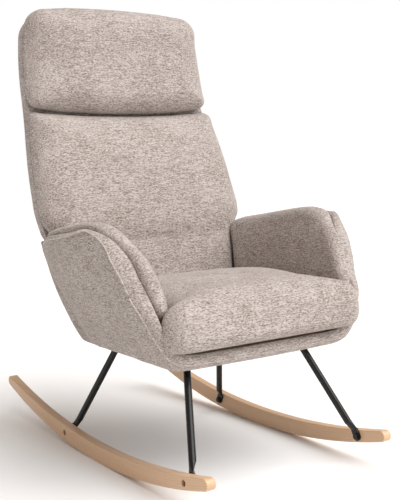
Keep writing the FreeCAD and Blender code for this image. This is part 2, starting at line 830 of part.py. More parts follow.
def back():
    """A padded tray holds the timber frame; two pads close its front."""
    heel, top = get("heel_level"), get("back_top")
    shell = back_piece("back_shell_block", heel, top, sized(0), get("shell_depth"), 0)
    inner = across("stile_outer") + fit_gap * 3
    ceiling = get("back_top") - 70
    tool = plate_body("back_room", "YZ_Plane", band(heel - 10, ceiling, get("shell_wall"),
                      get("shell_depth") + 5), inner * 2, middle=True)
    keep(cut("back_shell_tray", shell, tool), "back_shell")

    rear, thick = get("stile_offset"), get("stile_thickness")
    low, high = heel + 18, ceiling - 4
    outer, wide = across("stile_outer"), get("stile_width")
    for side, sign in SIDES.items():
        body = new_body("back_%s_stile" % side)
        start = outer - wide if sign > 0 else -outer
        sketch = attach(body, body.Name + "_side", "YZ_Plane", start)
        outline(sketch, band(low, high, rear, rear + thick))
        pad(body, sketch, wide)
        keep(body, "back_%s_stile" % side)
    span = (outer - wide - fit_gap) * 2
    for label, z in (("bottom", low), ("middle", heel + 230), ("top", high - 60)):
        body = plate_body("back_%s_rail" % label, "YZ_Plane", band(z, z + 60, rear, rear + thick),
                          span, middle=True)
        keep(body, "back_%s_rail" % label)
    straps = []
    for index in range(5):
        z = heel + 95 + index * 88
        face = rear + thick + fit_gap
        straps.append(plate_body("back_strap_%d" % (index + 1), "YZ_Plane",
                                 band(z, z + get("strap_width"), face, face + strap),
                                 outer * 2, middle=True))
    keep(group("back_webbing", straps), "back_webbing")

    seam = get("seam_level")
    pad_rear, pad_front = get("shell_depth") + fit_gap, get("back_depth")
    head = back_piece("headrest_pad", seam + 2, top - 6, pad_rear, pad_front, 3)
    keep(head, "headrest_pad")
    body = new_body("lumbar_pad")
    sketch = attach(body, "lumbar_pad_side", "YZ_Plane")
    points = band(heel + 1, seam - 2, pad_rear, pad_front)
    foot, behind = deck_top + get("cushion_heel"), get("cushion_back")
    outline(sketch, [(behind + 1, foot), (behind + 4, foot + 7), (behind + 38, heel - 7)]
            + points[1:-1] + [points[-1], (behind + 6, heel + 44)])
    pad(body, sketch, across("back_half_low") * 2, middle=True)
    sides = attach(body, "lumbar_pad_front_view", "XZ_Plane")
    half = [(across("cushion_neck"), foot - 1), (across("heel_half"), heel - 5),
            (back_half(heel + 10), heel + 10), (back_half(seam) - 3, seam + 1)]
    outline(sides, half + [(-x, z) for x, z in half[::-1]])
    outline(sides, box_outline(-half_length, half_length, foot - 50, seam + 50))
    pocket(body, sides)
    keep(body, "lumbar_pad")


def rear_panel():
    """The padded back of the tub, which sweeps up from under the seat to the back's heel."""
    start, thick = get("seat_back"), get("rear_panel")
    top = get("rear_panel_top")
    rise = [(start + 20, plate_top + 7), (start + 40, plate_top + 22), (start + 74, plate_top + 54),
            (start + 109, plate_top + 100), (start + 132, plate_top + 163), (start + 142, top)]
    inner = [(y - thick, z + 4) for y, z in rise[1:-1]] + [(rise[-1][0] - thick, top)]
    body = plate_body("rear_panel", "YZ_Plane", rise + inner[::-1] + [(start + 15, plate_top + 13)],
                      across("back_half_low") * 2, middle=True)
    sides = attach(body, "rear_panel_front_view", "XZ_Plane")
    half = [(across("foot_half"), plate_top), (across("foot_half"), plate_top + 54), (across("panel_half"), top + 1)]
    outline(sides, half + [(-x, z) for x, z in half[::-1]])
    outline(sides, box_outline(-half_length, half_length, plate_top - 50, top + 50))
    pocket(body, sides)
    keep(body, "rear_panel")


def back_brackets():
    """Two flat steel bars carry the back: from the rear rail up to the front of each stile."""
    start, thick = get("seat_back"), get("bracket_thickness")
    depth = get("stile_offset") + get("stile_thickness") + fit_gap
    top = get("heel_level") + 85
    front = [(start + fit_gap, rail_bottom), (start + fit_gap, rail_top + 1), (start + 20, rail_top + 7),
             (start + 62, rail_top + 50), (start + 86, rail_top + 87), (start + 109, rail_top + 150),
             (start + 117, rail_top + 205),
             (back_line(get("heel_level") + 14) - depth - thick, get("heel_level") + 14),
             (back_line(top) - depth - thick, top)]
    bars = []
    for side, sign in SIDES.items():
        body = new_body(side + "_bracket")
        low = across("bracket_inner") if sign > 0 else -across("bracket_inner") - get("bracket_width")
        sketch = attach(body, side + "_bracket_side", "YZ_Plane", low)
        outline(sketch, front[::-1] + [(y + thick, z) for y, z in front])
        pad(body, sketch, get("bracket_width"))
        bars.append(body)
    keep(group("back_brackets", bars), "back_brackets")


back()
rear_panel()
back_brackets()


# ---------------------------------------------------------------- check and write

doc.recompute()
for thing in doc.Objects:
    if "Invalid" in thing.State or "Error" in thing.State:
        raise ValueError("%s failed: %s" % (thing.Name, thing.State))
os.makedirs("parts", exist_ok=True)
for thing in PARTS:
    if thing.Shape.isNull() or not thing.Shape.isValid():
        raise ValueError("%s has no valid shape" % thing.Label)
    thing.Shape.exportStep("parts/%s.step" % thing.Label)
print("%d sub-parts written" % len(PARTS))
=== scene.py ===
import math
import bmesh
import bpy
import numpy as np
from mathutils import Matrix, Vector


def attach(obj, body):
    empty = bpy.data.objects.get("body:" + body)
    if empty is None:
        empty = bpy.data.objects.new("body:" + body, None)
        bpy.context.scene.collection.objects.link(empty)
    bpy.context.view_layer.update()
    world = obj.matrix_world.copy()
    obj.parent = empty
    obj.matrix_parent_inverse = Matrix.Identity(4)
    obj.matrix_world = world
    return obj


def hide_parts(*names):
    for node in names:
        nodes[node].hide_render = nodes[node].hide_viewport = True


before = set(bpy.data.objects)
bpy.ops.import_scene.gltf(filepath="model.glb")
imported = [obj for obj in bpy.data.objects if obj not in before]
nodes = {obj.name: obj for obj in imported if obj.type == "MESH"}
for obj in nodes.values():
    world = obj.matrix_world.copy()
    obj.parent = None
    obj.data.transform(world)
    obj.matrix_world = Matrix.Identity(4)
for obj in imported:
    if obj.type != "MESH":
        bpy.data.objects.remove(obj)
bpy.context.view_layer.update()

# ---------------------------------------------------------------- rockers
# Two bent-laminated ash runners, sanded and lacquered.  The layers follow the
# curve of the sole, so the figure runs lengthwise and shows as end grain at the tips.


def put(tree, kind, settings=None, **sockets):
    """Adds a shader node; settings are its options and sockets its input values or links."""
    node = tree.nodes.new(kind)
    for key, value in (settings or {}).items():
        setattr(node, key, value)
    for key, value in sockets.items():
        entry = node.inputs[int(key[1:])] if key[0] == "_" else node.inputs[key.replace("_", " ")]
        if isinstance(value, bpy.types.NodeSocket):
            tree.links.new(value, entry)
        else:
            entry.default_value = value
    return node


def new_group(name, inputs, outputs):
    """An empty shader group with the named sockets; inputs and outputs are (name, kind, value)."""
    tree = bpy.data.node_groups.new(name, "ShaderNodeTree")
    for label, kind, value in inputs:
        socket = tree.interface.new_socket(label, in_out="INPUT", socket_type="NodeSocket" + kind)
        if value is not None:
            socket.default_value = value
    for label, kind in outputs:
        tree.interface.new_socket(label, in_out="OUTPUT", socket_type="NodeSocket" + kind)
    return tree, tree.nodes.new("NodeGroupInput").outputs, tree.nodes.new("NodeGroupOutput").inputs


def new_material(name, **fixed):
    """A material with one Principled shader, and its plain values set on the shader itself."""
    material = bpy.data.materials.new(name)
    material.use_nodes = True
    tree = material.node_tree
    shader = tree.nodes["Principled BSDF"]
    for key, value in fixed.items():
        shader.inputs[key.replace("_", " ")].default_value = value
    return material, tree, shader


def math_node(tree, operation, first, second=0.0, third=0.0):
    """One Math node's result."""
    node = put(tree, "ShaderNodeMath", {"operation": operation}, _0=first, _1=second, _2=third)
    return node.outputs[0]


def stretched(tree, vector, scale):
    """The vector times a scale for each axis, so that a pattern is drawn out."""
    node = put(tree, "ShaderNodeVectorMath", {"operation": "MULTIPLY"}, _0=vector, _1=scale)
    return node.outputs[0]


def fine_noise(tree, vector, scale, detail=2.0, rough=0.5):
    """Plain noise between 0 and 1."""
    node = put(tree, "ShaderNodeTexNoise", {"noise_dimensions": "3D"}, Vector=vector, Scale=scale,
               Detail=detail, Roughness=rough)
    return node.outputs[0]


def ramp(tree, factor, *stops):
    """Colour ramp through (place, colour) stops."""
    node = put(tree, "ShaderNodeValToRGB", None, _0=factor)
    marks = node.color_ramp.elements
    while len(marks) < len(stops):
        marks.new(0.5)
    for mark, (place, colour) in zip(marks, stops):
        mark.position = place
        mark.color = colour
    return node.outputs[0]


def blend_colour(tree, kind, factor, first, second):
    """Mixes two colours."""
    node = put(tree, "ShaderNodeMix", {"data_type": "RGBA", "blend_type": kind}, _0=factor,
               _6=first, _7=second)
    return node.outputs[2]


def share_between(tree, value, low, high, first=0.0, last=1.0):
    """The value's place between low and high, given as a number from first to last."""
    return put(tree, "ShaderNodeMapRange", None, _0=value, _1=low, _2=high, _3=first, _4=last).outputs[0]


def here(tree):
    """The point being shaded, in the piece's own metres."""
    return put(tree, "ShaderNodeTexCoord").outputs["Object"]


def roughen(tree, shader, height, strength, distance):
    """Bumps the surface by a height between 0 and 1, distance metres deep."""
    bump = put(tree, "ShaderNodeBump", None, Strength=strength, Distance=distance, Height=height)
    tree.links.new(bump.outputs[0], shader.inputs["Normal"])


def timber_grain():
    """Grain along the vector's Y: broad year bands across Z, fine fibres, and short dark pores."""
    tree, given, out = new_group(
        "timber_grain",
        [("Vector", "Vector", None), ("Pale", "Color", (0.8, 0.6, 0.4, 1)),
         ("Dark", "Color", (0.6, 0.4, 0.25, 1)), ("Pores", "Float", 0.5)],
        [("Color", "Color"), ("Height", "Float")])
    vector = given["Vector"]
    sway = fine_noise(tree, stretched(tree, vector, (14, 3.0, 14)), 1.0, 2.0)
    across = put(tree, "ShaderNodeSeparateXYZ", None, _0=vector).outputs
    drift = math_node(tree, "MULTIPLY", sway, 4.2)
    depth = math_node(tree, "MULTIPLY_ADD", across[2], 210.0, drift)
    rings = math_node(tree, "MULTIPLY_ADD", across[0], 55.0, depth)
    bands = math_node(tree, "FRACT", rings)
    year = ramp(tree, bands, (0.0, (0, 0, 0, 1)), (0.62, (0.3, 0.3, 0.3, 1)), (0.9, (1, 1, 1, 1)),
                (1.0, (0, 0, 0, 1)))
    fibre = fine_noise(tree, stretched(tree, vector, (900, 9, 900)), 1.0, 3.0, 0.6)
    patch = fine_noise(tree, stretched(tree, vector, (30, 4, 30)), 1.0, 2.0)
    pore = fine_noise(tree, stretched(tree, vector, (1500, 45, 1500)), 1.0, 0.0)
    pores = share_between(tree, pore, 0.66, 0.74)
    pores = math_node(tree, "MULTIPLY", math_node(tree, "MULTIPLY", pores, year), given["Pores"])
    weight = math_node(tree, "MULTIPLY_ADD", year, 0.34, math_node(tree, "MULTIPLY", fibre, 0.5))
    weight = math_node(tree, "MULTIPLY_ADD", patch, 0.5, math_node(tree, "SUBTRACT", weight, 0.28))
    colour = blend_colour(tree, "MIX", weight, given["Pale"], given["Dark"])
    colour = blend_colour(tree, "MULTIPLY", pores, colour, (0.62, 0.48, 0.36, 1))
    tree.links.new(colour, out["Color"])
    height = math_node(tree, "MULTIPLY_ADD", fibre, 0.4, math_node(tree, "MULTIPLY", pores, -1.0))
    tree.links.new(height, out["Height"])
    return tree


def metres(*lengths):
    """Lengths in millimetres as a numpy array in metres."""
    return np.array(lengths, float) / 1000


SOLE_CENTRE = (0.0, -0.036, 1.603)
ASH_PALE, ASH_DARK = (0.74, 0.50, 0.315, 1), (0.50, 0.295, 0.16, 1)
grain = timber_grain()


def ash_finish():
    """Lacquered ash: the distance from the sole's centre is the grain's Z, the arc length its Y."""
    material, tree, shader = new_material("lacquered_ash", Roughness=0.42, Coat_Weight=0.12,
                                          Coat_Roughness=0.25)
    place = here(tree)
    arm = put(tree, "ShaderNodeVectorMath", {"operation": "SUBTRACT"}, _0=place, _1=SOLE_CENTRE)
    parts = put(tree, "ShaderNodeSeparateXYZ", None, _0=arm.outputs[0]).outputs
    flat = stretched(tree, arm.outputs[0], (0, 1, 1))
    reach = put(tree, "ShaderNodeVectorMath", {"operation": "LENGTH"}, _0=flat).outputs["Value"]
    turn = math_node(tree, "ARCTAN2", parts[1], math_node(tree, "MULTIPLY", parts[2], -1.0))
    arc = math_node(tree, "MULTIPLY", turn, SOLE_CENTRE[2])
    curved = put(tree, "ShaderNodeCombineXYZ", None, _0=parts[0], _1=arc, _2=reach).outputs[0]
    look = put(tree, "ShaderNodeGroup", {"node_tree": grain}, Vector=curved, Pale=ASH_PALE,
               Dark=ASH_DARK, Pores=0.55)
    tree.links.new(look.outputs["Color"], shader.inputs["Base Color"])
    roughen(tree, shader, look.outputs["Height"], 0.25, 0.0004)
    return material


def refinish(material, *names):
    """Gives CAD nodes a finished material in every slot."""
    for name in names:
        for entry in nodes[name].material_slots:
            entry.material = material


refinish(ash_finish(), "left_rocker", "right_rocker")

# ---------------------------------------------------------------- legs and plates
# Four bent steel tubes with flattened feet, welded to two flat plates under the seat,
# all powder-coated satin black: a faintly pebbled skin that catches thin highlights.


def powder_coat():
    """Black paint over a fine pebble of noise; a broad cloud moves its colour and gloss."""
    material, tree, shader = new_material("black_powder_coat", Specular_IOR_Level=0.35)
    place = here(tree)
    pebble = fine_noise(tree, place, 1400.0, 2.0)
    cloud = fine_noise(tree, place, 30.0, 2.0)
    colour = ramp(tree, cloud, (0.3, (0.006, 0.006, 0.0065, 1)), (0.7, (0.011, 0.011, 0.0115, 1)))
    tree.links.new(colour, shader.inputs["Base Color"])
    tree.links.new(share_between(tree, cloud, 0.2, 0.8, 0.22, 0.32), shader.inputs["Roughness"])
    roughen(tree, shader, pebble, 0.12, 0.0003)
    return material


black_coat = powder_coat()
refinish(black_coat, "left_front_leg", "right_front_leg", "left_rear_leg", "right_rear_leg",
         "left_leg_plate", "right_leg_plate")

# ---------------------------------------------------------------- fasteners
# Blackened button-head bolts, washers and sleeve nuts at the rockers, and zinc-plated
# bolts and tee nuts under the seat.


def plated(name, low, high, rough):
    """Plated or blackened steel: brushed noise moves the colour and the roughness."""
    material, tree, shader = new_material(name, Metallic=1.0)
    place = here(tree)
    cloud = fine_noise(tree, place, 420.0, 3.0)
    tree.links.new(ramp(tree, cloud, (0.3, low), (0.7, high)), shader.inputs["Base Color"])
    tree.links.new(share_between(tree, cloud, 0.2, 0.8, rough, rough + 0.15), shader.inputs["Roughness"])
    return material


refinish(plated("blackened_steel", (0.03, 0.03, 0.03, 1), (0.07, 0.07, 0.072, 1), 0.35),
         "rocker_bolts", "rocker_washers", "rocker_sleeve_nuts")
refinish(plated("zinc_plate", (0.5, 0.5, 0.52, 1), (0.68, 0.68, 0.7, 1), 0.28),
         "plate_bolts", "plate_tee_nuts", "arm_bolts")

# ---------------------------------------------------------------- frame inside the covers
# Plywood rails, stiles and arm panels, elastic straps stretched over them, steel back
# brackets, and the black lining stapled under the seat.


def plywood():
    """Birch plywood: face grain with glue lines every 1.5 mm of height."""
    material, tree, shader = new_material("birch_plywood", Roughness=0.6)
    place = here(tree)
    look = put(tree, "ShaderNodeGroup", {"node_tree": grain}, Vector=place, Pale=(0.72, 0.56, 0.38, 1),
               Dark=(0.58, 0.42, 0.26, 1), Pores=0.3)
    height = put(tree, "ShaderNodeSeparateXYZ", None, _0=place).outputs[2]
    layer = math_node(tree, "FRACT", math_node(tree, "MULTIPLY", height, 667.0))
    line = math_node(tree, "LESS_THAN", layer, 0.16)
    colour = blend_colour(tree, "MULTIPLY", math_node(tree, "MULTIPLY", line, 0.6),
                          look.outputs["Color"], (0.5, 0.36, 0.24, 1))
    tree.links.new(colour, shader.inputs["Base Color"])
    return material


def strap_weave():
    """Elastic webbing: ribs across the strap."""
    material, tree, shader = new_material("elastic_webbing", Roughness=0.8)
    place = here(tree)
    ribs = fine_noise(tree, stretched(tree, place, (900, 250, 250)), 1.0, 1.0)
    colour = ramp(tree, ribs, (0.35, (0.05, 0.05, 0.055, 1)), (0.65, (0.16, 0.155, 0.15, 1)))
    tree.links.new(colour, shader.inputs["Base Color"])
    roughen(tree, shader, ribs, 0.5, 0.0006)
    return material


def lining_cloth():
    """Black spun-bonded lining: a grid of pressed dots on matt fibre."""
    material, tree, shader = new_material("spunbond_lining", Roughness=0.9)
    place = here(tree)
    dots = put(tree, "ShaderNodeTexVoronoi", {"feature": "F1"}, Vector=place, Scale=420.0,
               Randomness=0.25).outputs["Distance"]
    colour = ramp(tree, dots, (0.2, (0.010, 0.010, 0.011, 1)), (0.6, (0.032, 0.032, 0.034, 1)))
    tree.links.new(colour, shader.inputs["Base Color"])
    roughen(tree, shader, dots, 0.6, 0.0003)
    return material


refinish(plywood(), "seat_front_rail", "seat_rear_rail", "seat_left_rail", "seat_right_rail",
         "left_arm_panel", "right_arm_panel", "back_left_stile", "back_right_stile",
         "back_bottom_rail", "back_middle_rail", "back_top_rail")
refinish(strap_weave(), "seat_webbing", "back_webbing")
refinish(lining_cloth(), "dust_cover")
refinish(black_coat, "back_brackets")

# ---------------------------------------------------------------- seat tub
# One moulded, foam-covered shell: it runs down one arm, across the front under the
# cushion and up the other arm.  Its rim is a separate band sewn on with a raised seam.

YARN_LIGHT = (0.575, 0.535, 0.515, 1)
YARN_MID = (0.37, 0.317, 0.288, 1)
YARN_DARK = (0.155, 0.113, 0.095, 1)


def melange_weave():
    """Chenille in mixed yarns: flecks drawn out level with the floor, over a fine crossed weave."""
    tree, given, out = new_group(
        "melange_weave",
        [("Vector", "Vector", None), ("Normal", "Vector", None), ("Light", "Color", YARN_LIGHT),
         ("Middle", "Color", YARN_MID), ("Dark", "Color", YARN_DARK)],
        [("Color", "Color"), ("Height", "Float")])
    place = given["Vector"]
    facing = put(tree, "ShaderNodeSeparateXYZ", None, _0=given["Normal"]).outputs[0]
    sideways = share_between(tree, math_node(tree, "ABSOLUTE", facing), 0.6, 0.8)

    def level(long, short, detail):
        """Noise drawn out along X on faces that look forwards or up, and along Y on the sides."""
        wide = fine_noise(tree, stretched(tree, place, (long, short, short)), 1.0, detail, 0.6)
        side = fine_noise(tree, stretched(tree, place, (short, long, short)), 1.0, detail, 0.6)
        return put(tree, "ShaderNodeMix", {"data_type": "FLOAT"}, _0=sideways, _2=wide, _3=side).outputs[0]

    fleck = level(170, 480, 2.0)
    slub = level(34, 420, 2.0)
    cloud = fine_noise(tree, place, 14.0, 2.0)
    thread = level(700, 1100, 1.0)
    tone = math_node(tree, "MULTIPLY_ADD", fleck, 0.62, math_node(tree, "MULTIPLY", slub, 0.30))
    tone = math_node(tree, "MULTIPLY_ADD", thread, 0.22, tone)
    tone = math_node(tree, "MULTIPLY_ADD", cloud, 0.10, math_node(tree, "SUBTRACT", tone, 0.12))
    low = blend_colour(tree, "MIX", share_between(tree, tone, 0.34, 0.50), given["Dark"], given["Middle"])
    high = share_between(tree, tone, 0.47, 0.63)
    tree.links.new(blend_colour(tree, "MIX", high, low, given["Light"]), out["Color"])
    height = math_node(tree, "MULTIPLY_ADD", fleck, 0.6, math_node(tree, "MULTIPLY", thread, 0.5))
    tree.links.new(height, out["Height"])
    return tree


def cover_cloth(name, **yarns):
    """The cover fabric: matt mixed yarn with a soft sheen at grazing angles."""
    material, tree, shader = new_material(name, Roughness=0.95, Sheen_Weight=0.25, Sheen_Roughness=0.5,
                                          Specular_IOR_Level=0.2)
    shader.inputs["Sheen Tint"].default_value = (0.9, 0.86, 0.82, 1)
    place = put(tree, "ShaderNodeTexCoord").outputs
    look = put(tree, "ShaderNodeGroup", {"node_tree": weave}, Vector=place["Object"],
               Normal=place["Normal"], **yarns)
    tree.links.new(look.outputs["Color"], shader.inputs["Base Color"])
    roughen(tree, shader, look.outputs["Height"], 0.75, 0.0016)
    return material


weave = melange_weave()
cloth = cover_cloth("melange_chenille")
# The seam welts wear a lighter copy of the cover cloth: a painted highlight along the raised seams.
seam_highlight_cloth = cover_cloth("seam_painted_highlight", Light=(0.66, 0.615, 0.59, 1), Middle=(0.49, 0.43, 0.40, 1),
                         Dark=(0.30, 0.24, 0.21, 1))


def smooth_line(points, count, spread=None):
    """Resamples a row of points with a cubic through them; tangents are the neighbours' slopes."""
    points = np.asarray(points, float)
    flat = points.reshape(len(points), -1)
    lead = flat if spread is None else np.asarray(spread, float).reshape(len(points), -1)
    steps = np.linalg.norm(np.diff(lead, axis=0), axis=1) + 1e-9
    knots = np.concatenate([[0], np.cumsum(np.sqrt(steps) * np.sqrt(steps.mean()))])
    slopes = np.gradient(flat, knots, axis=0)
    where = np.linspace(0, knots[-1], count)
    index = np.clip(np.searchsorted(knots, where, side="right") - 1, 0, len(knots) - 2)
    gap = (knots[index + 1] - knots[index])[:, None]
    t = (where[:, None] - knots[index][:, None]) / gap
    result = ((2 * t**3 - 3 * t**2 + 1) * flat[index] + (t**3 - 2 * t**2 + t) * gap * slopes[index]
              + (3 * t**2 - 2 * t**3) * flat[index + 1] + (t**3 - t**2) * gap * slopes[index + 1])
    return result.reshape((count,) + points.shape[1:])


def surface(name, grid, material, wrap=False, levels=0):
    """Makes an (n, m, 3) grid of points into a closed-up mesh of quads, doubles merged, faces outward."""
    rows, columns = grid.shape[:2]
    index = np.arange(rows * columns).reshape(rows, columns)
    if wrap:
        index = np.hstack([index, index[:, :1]])
    quads = np.stack([index[:-1, :-1], index[1:, :-1], index[1:, 1:], index[:-1, 1:]], axis=-1).reshape(-1, 4)
    mesh = bpy.data.meshes.new(name)
    mesh.from_pydata(grid.reshape(-1, 3).tolist(), [], quads.tolist())
    work = bmesh.new()
    work.from_mesh(mesh)
    bmesh.ops.remove_doubles(work, verts=work.verts, dist=2e-5)
    bmesh.ops.dissolve_degenerate(work, edges=work.edges, dist=1e-6)
    bmesh.ops.recalc_face_normals(work, faces=work.faces)
    for face in work.faces:
        face.smooth = True
    work.to_mesh(mesh)
    work.free()
    mesh.materials.append(material)
    piece = bpy.data.objects.new(name, mesh)
    bpy.context.collection.objects.link(piece)
    if levels:
        modifier = piece.modifiers.new("soften", "SUBSURF")
        modifier.levels = modifier.render_levels = levels
    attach(piece, "root")
    return piece


def unit(vectors):
    """Vectors scaled to length one."""
    return vectors / (np.linalg.norm(vectors, axis=-1, keepdims=True) + 1e-12)


def tube(name, path, radius, material, closed=False, sides=8, flat=1.0):
    """A cord along a path: a ring of points round each path point, square to the path."""
    path = np.asarray(path, float)
    ahead = np.roll(path, -1, axis=0) - np.roll(path, 1, axis=0)
    if not closed:
        ahead[0], ahead[-1] = path[1] - path[0], path[-1] - path[-2]
    ahead = unit(ahead)
    up = np.tile([0.0, 0.0, 1.0], (len(path), 1))
    up[np.abs(ahead[:, 2]) > 0.9] = (0.0, 1.0, 0.0)
    across = unit(np.cross(ahead, up))
    over = np.cross(across, ahead)
    angle = np.linspace(0, 2 * np.pi, sides, endpoint=False)[None, :, None]
    rings = path[:, None] + radius * (np.cos(angle) * across[:, None] + flat * np.sin(angle) * over[:, None])
    if closed:
        rings = np.concatenate([rings, rings[:1]])
    else:
        rings = np.concatenate([path[:1, None].repeat(sides, 1), rings, path[-1:, None].repeat(sides, 1)])
    return surface(name, rings, material, wrap=True)


# Left-hand half of each edge, as (x, y, z) in mm from the arm's rear end to the middle of the front.
RIM_INNER = [(275, 118, 490), (300, 60, 508), (318, 0, 522), (322, -60, 530), (320, -120, 536),
             (316, -180, 543), (312, -221, 540), (301, -242, 531), (289, -260, 514), (280, -283, 490),
             (273, -307, 452), (265, -329, 414), (261, -358, 373), (247, -360, 334), (231, -361, 316),
             (222, -361, 308), (194, -361, 298), (100, -363, 296), (0, -364, 296)]
RIM_SEAM = [(283, 122, 486), (308, 62, 502), (326, 0, 515), (336, -60, 522), (340, -130, 532),
            (337, -204, 546), (332, -222, 541), (325, -238, 532), (319, -258, 512), (318, -272, 492),
            (308, -297, 452), (298, -315, 410), (288, -335, 380), (268, -350, 333), (254, -356, 308),
            (236, -360, 288), (212, -363, 279), (150, -364, 276), (0, -365, 275)]
TUB_FOOT = [(278, 121, 478), (268, 86, 410), (260, 20, 342), (255, -45, 288), (255, -110, 282),
            (255, -165, 282), (255, -190, 282), (255, -215, 282), (255, -232, 282), (255, -250, 281),
            (254, -275, 280), (253, -295, 280), (252, -312, 279), (247, -333, 277), (240, -345, 275),
            (230, -353, 273), (208, -358, 270), (150, -361, 269), (0, -362, 268)]
STATIONS = 261      # sections round the tub


def whole(half):
    """A left-hand row of points with its mirror image after it, in metres."""
    half = metres(*half)
    return np.concatenate([half, (half * (-1, 1, 1))[-2::-1]])


def arc_over(start, end, rise, count, lean=1.0):
    """Points from start to end, lifted by rise along a half sine; lean moves the fullest part."""
    t = np.linspace(0, 1, count)[None, :, None]
    return start[:, None] * (1 - t) + end[:, None] * t + rise[:, None] * np.sin(np.pi * t**lean)


rim_inner = smooth_line(whole(RIM_INNER), STATIONS, whole(RIM_SEAM))
rim_seam = smooth_line(whole(RIM_SEAM), STATIONS, whole(RIM_SEAM))
tub_foot = smooth_line(whole(TUB_FOOT), STATIONS, whole(RIM_SEAM))


def tub_section(inner, seam, foot):
    """Every section at once: inner wall, crowned rim, crowned outside, rounded foot, wrap under the rail."""
    run = np.gradient(seam, axis=0)
    rim_up = unit(np.cross(run, inner - seam))
    rim_up *= np.sign(rim_up[:, 2:3] * 2 - rim_up[:, 1:2])
    level = np.gradient(foot, axis=0) * (1, 1, 0)
    out = unit(np.cross(level, (0, 0, 1.0)))
    out *= np.where((out[:, :1] * foot[:, :1] - out[:, 1:2] * 0.3) > 0, 1, -1)
    outward = unit(np.cross(run, foot - seam))
    outward *= np.where((outward * out).sum(1, keepdims=True) > 0, 1, -1)
    tall = np.linalg.norm(seam - foot, axis=1, keepdims=True)
    inside = foot - out * metres(24) + np.array([0, 0, 0.016])
    wall = arc_over(inside, inner, outward * 0, 6)
    rim = arc_over(inner, seam, rim_up * metres(4.5), 12)
    side = arc_over(seam, foot, outward * np.minimum(0.012, tall * 0.07), 26, 0.9)
    under = foot - out * metres(34) + np.array([0, 0, -0.001])
    belly = foot - out * metres(13) + np.array([0, 0, -0.007])
    turn = smooth_line(np.stack([side[:, -2], foot, belly, under], axis=0), 10)
    turn = np.moveaxis(turn, 0, 1)[:, 3:]
    back = arc_over(under + (0, 0, 0.002), inside, outward * 0, 4)
    return np.concatenate([wall[:, :-1], rim[:, :-1], side[:, :-1], turn, back[:, :-1]], axis=1)


tub_grid = tub_section(rim_inner, rim_seam, tub_foot)
ends = [tub_grid[:1].mean(axis=1, keepdims=True).repeat(tub_grid.shape[1], 1),
        tub_grid[-1:].mean(axis=1, keepdims=True).repeat(tub_grid.shape[1], 1)]
tub = surface("seat_tub", np.concatenate([ends[0], tub_grid, ends[1]]), cloth, wrap=True)
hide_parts("left_arm_shell", "right_arm_shell", "seat_shell")
# The rim's seam welt, in the lighter cloth: a painted highlight.
tube("rim_seam", rim_seam, 0.0017, seam_highlight_cloth)

# ---------------------------------------------------------------- rear panel
# A thin padded panel behind the seat joins the two arms and closes the tub under the
# back cushion.  Its sides are sewn to the arms' rear edges.

PANEL_ROWS = 52
PANEL_SIDE = [(-52, 252, 42, 283), (-38, 253, 54, 292), (-18, 255, 73, 308), (20, 258, 105, 342),
              (52, 262, 127, 374), (86, 266, 143, 410), (104, 270, 155, 444), (119, 275, 166, 478),
              (126, 276, 172, 497)]


def rear_panel_grid(side, wall, columns):
    """A scoop: at each height a superellipse runs from one arm's rear edge, round the back, to the other's.

    side gives (y of the arm's edge, half width, y of the rear, height).  The rows go down the
    outside, turn under the foot, come up the inside and close over the top.
    """
    line = smooth_line(metres(*side), PANEL_ROWS)
    edge, half, rear, height = line.T
    angle = np.linspace(0, np.pi, columns)
    sweep = np.sign(np.cos(angle)) * np.abs(np.cos(angle)) ** 0.30
    lift = np.sin(angle) ** 0.36
    top = PANEL_ROWS - 1
    rows = [(k, 0.0, 0.0) for k in range(top, -1, -1)]
    rows += [(0, 2.0, -3.0), (0, 6.0, -6.0), (0, 14.0, -7.5)]
    rows += [(0, 34.0, -7.0), (0, 34.0, -5.0), (0, 20.0, -3.0)]
    rows += [(k, wall, 0.0) for k in range(1, top - 1)]
    rows += [(top, wall * 0.85, 0.5), (top, wall * 0.5, 2.6), (top, wall * 0.18, 1.8)]
    loops = []
    for k, inward, up in rows:
        inward, up = inward / 1000, up / 1000
        bow = 0.006 * (1 - sweep**2)
        x = (half[k] - inward) * sweep
        y = edge[k] + (rear[k] + bow - edge[k] - inward) * lift
        loops.append(np.stack([x, y, np.full(columns, height[k] + up)], axis=1))
    return np.stack(loops)


panel_grid = np.moveaxis(rear_panel_grid(PANEL_SIDE, 11.0, 160), 0, 1)
rear_cover = surface("rear_panel_cover", panel_grid, cloth, wrap=True)
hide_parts("rear_panel")

# ---------------------------------------------------------------- seat cushion
# A loose T-shaped foam cushion in a boxed cover: its ears stand in front of the arm
# pads, its top is crowned, and it lies in the tub.


def evenly(line, count):
    """Points at equal steps along a flat line that ends where it starts."""
    far = np.concatenate([[0], np.cumsum(np.linalg.norm(np.diff(line, axis=0), axis=1))])
    where = np.linspace(0, far[-1], count, endpoint=False)
    return np.stack([np.interp(where, far, line[:, k]) for k in (0, 1)], axis=1)


def closed_outline(corners, radii, count):
    """A closed outline with a circular arc of the given radius at every corner."""
    corners = np.asarray(corners, float)
    pieces = []
    for k in range(len(corners)):
        before, here, after = corners[k - 1], corners[k], corners[(k + 1) % len(corners)]
        a, b = unit(before - here), unit(after - here)
        half = np.arccos(np.clip((a * b).sum(), -1, 1)) / 2
        reach = radii[k] / np.tan(half)
        centre = here + unit(a + b) * radii[k] / np.sin(half)
        first, last = here + a * reach - centre, here + b * reach - centre
        sweep = np.pi - 2 * half
        t = np.linspace(0, 1, 9)[:, None]
        arc = (np.sin((1 - t) * sweep) * first + np.sin(t * sweep) * last) / np.sin(sweep)
        pieces.append(centre + arc)
    line = np.concatenate(pieces + [pieces[0][:1]])
    return evenly(line, count)


def inset(line, distance):
    """The outline moved inwards by a distance, square to itself."""
    ahead = unit(np.roll(line, -2, axis=0) - np.roll(line, 2, axis=0))
    side = np.stack([-ahead[:, 1], ahead[:, 0]], axis=1)
    area = (line[:, 0] * np.roll(line[:, 1], -1) - line[:, 1] * np.roll(line[:, 0], -1)).sum()
    return line + side * distance * np.sign(area)


